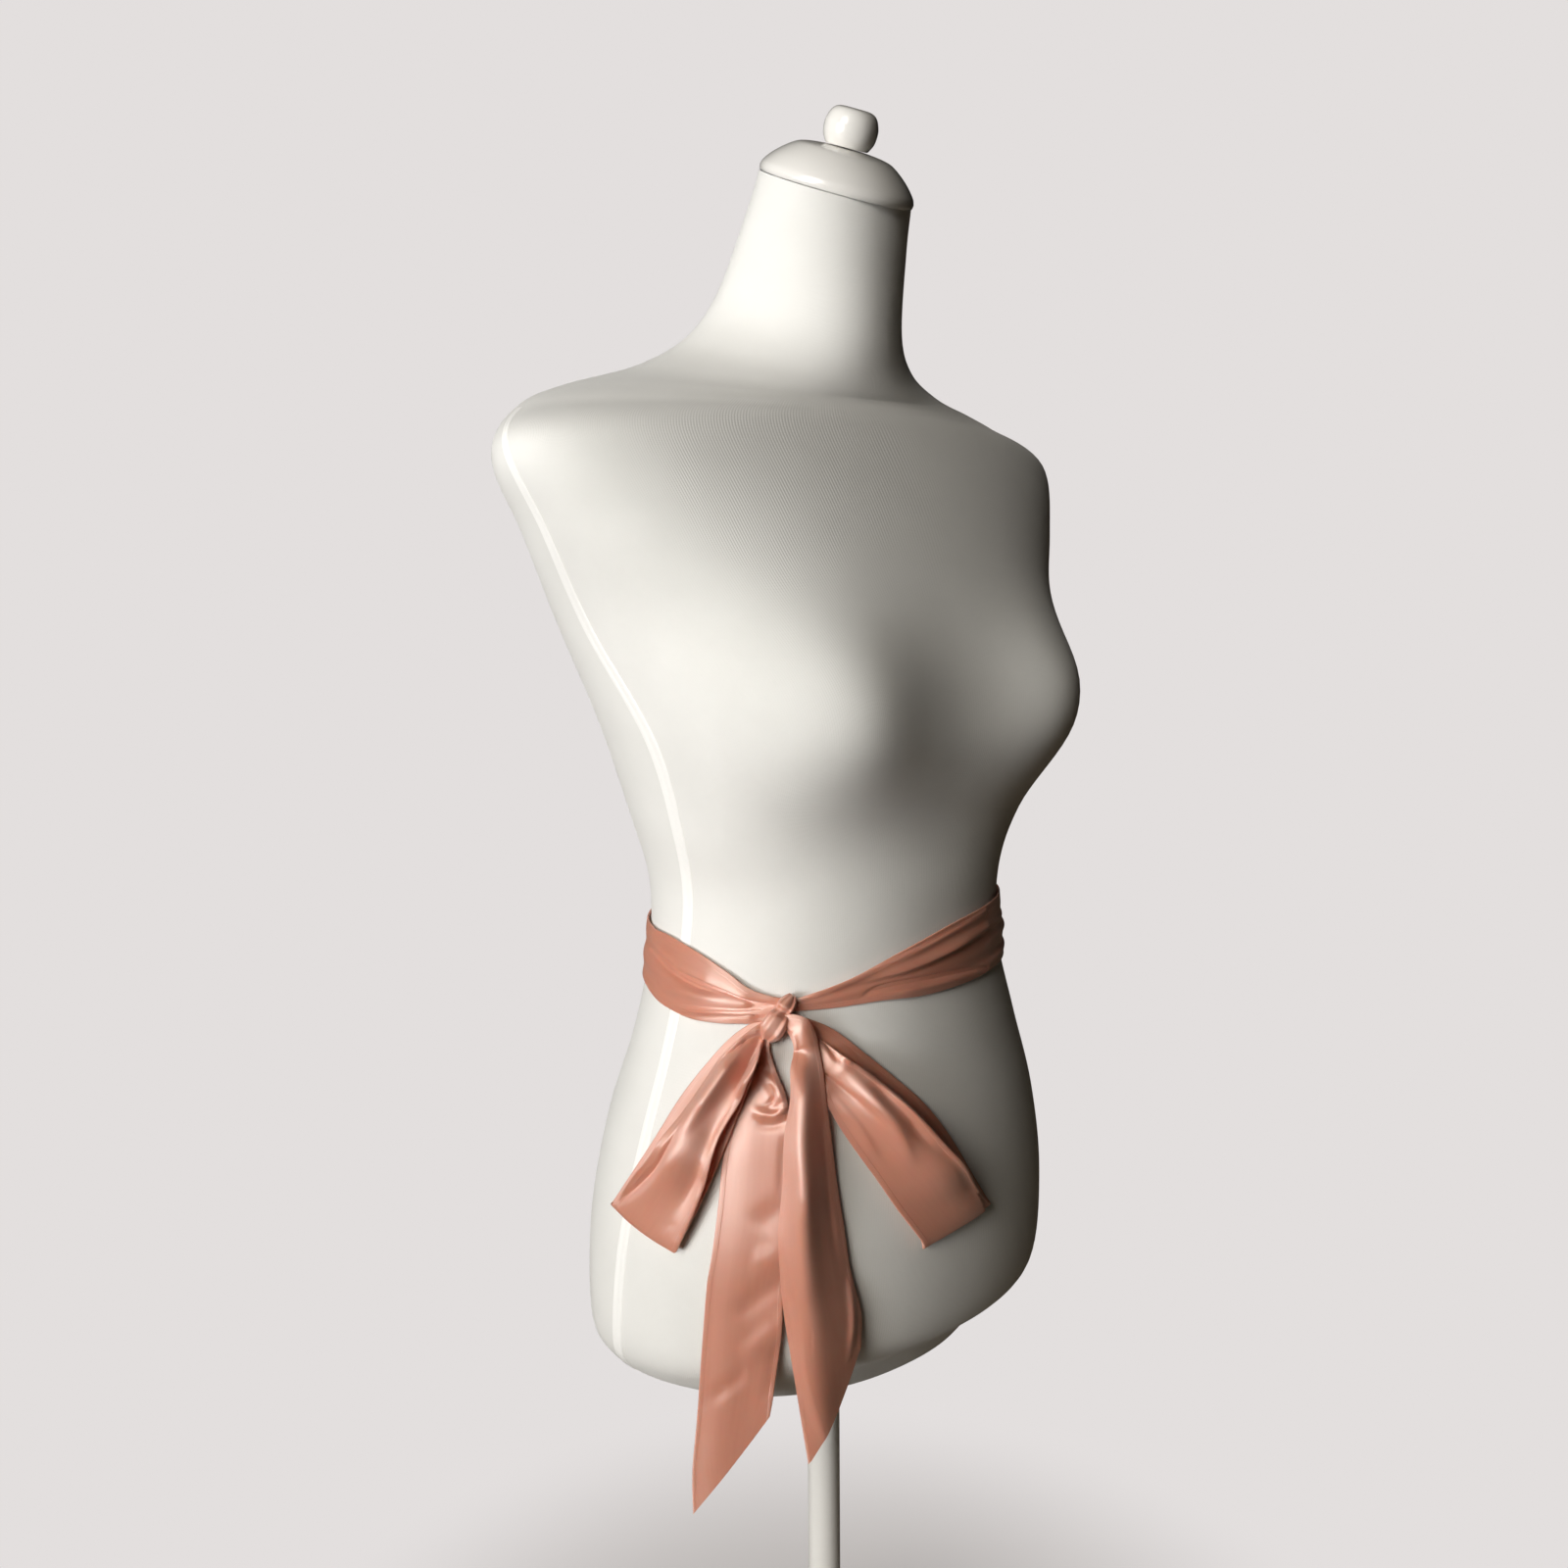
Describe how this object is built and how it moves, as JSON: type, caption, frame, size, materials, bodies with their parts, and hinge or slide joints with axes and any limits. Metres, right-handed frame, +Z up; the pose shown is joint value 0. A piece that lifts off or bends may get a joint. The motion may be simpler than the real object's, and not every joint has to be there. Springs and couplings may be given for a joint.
{
  "type": "satin sash on a dress form",
  "caption": "Peach satin sash tied in a bow at the side of the waist of a limbless, jersey-covered dress form on a plain round stand.",
  "frame": {"origin": "on the floor under the middle of the round base plate, on the pole's axis", "axes": "+Z up the pole, -Y towards the form's front, -X towards the form's right side, where the bow is tied"},
  "size_m": [0.4, 0.28, 0.9869],
  "materials": {
    "peach_satin": "double-layer satin, soft sheen",
    "white_jersey": "fine matt knit, stretched over the form",
    "gloss_cream": "glossy cream",
    "cream_painted_steel": "semi-gloss cream paint"
  },
  "bodies": {
    "root": {"sash_band": "peach_satin", "sash_knot": "peach_satin", "loop_left": "peach_satin", "loop_right": "peach_satin", "tail_left": "peach_satin", "tail_right": "peach_satin", "torso": "white_jersey", "neck_cap": "gloss_cream", "neck_knob": "gloss_cream", "stand_pole": "cream_painted_steel", "base_plate": "cream_painted_steel"}
  },
  "joints": []
}
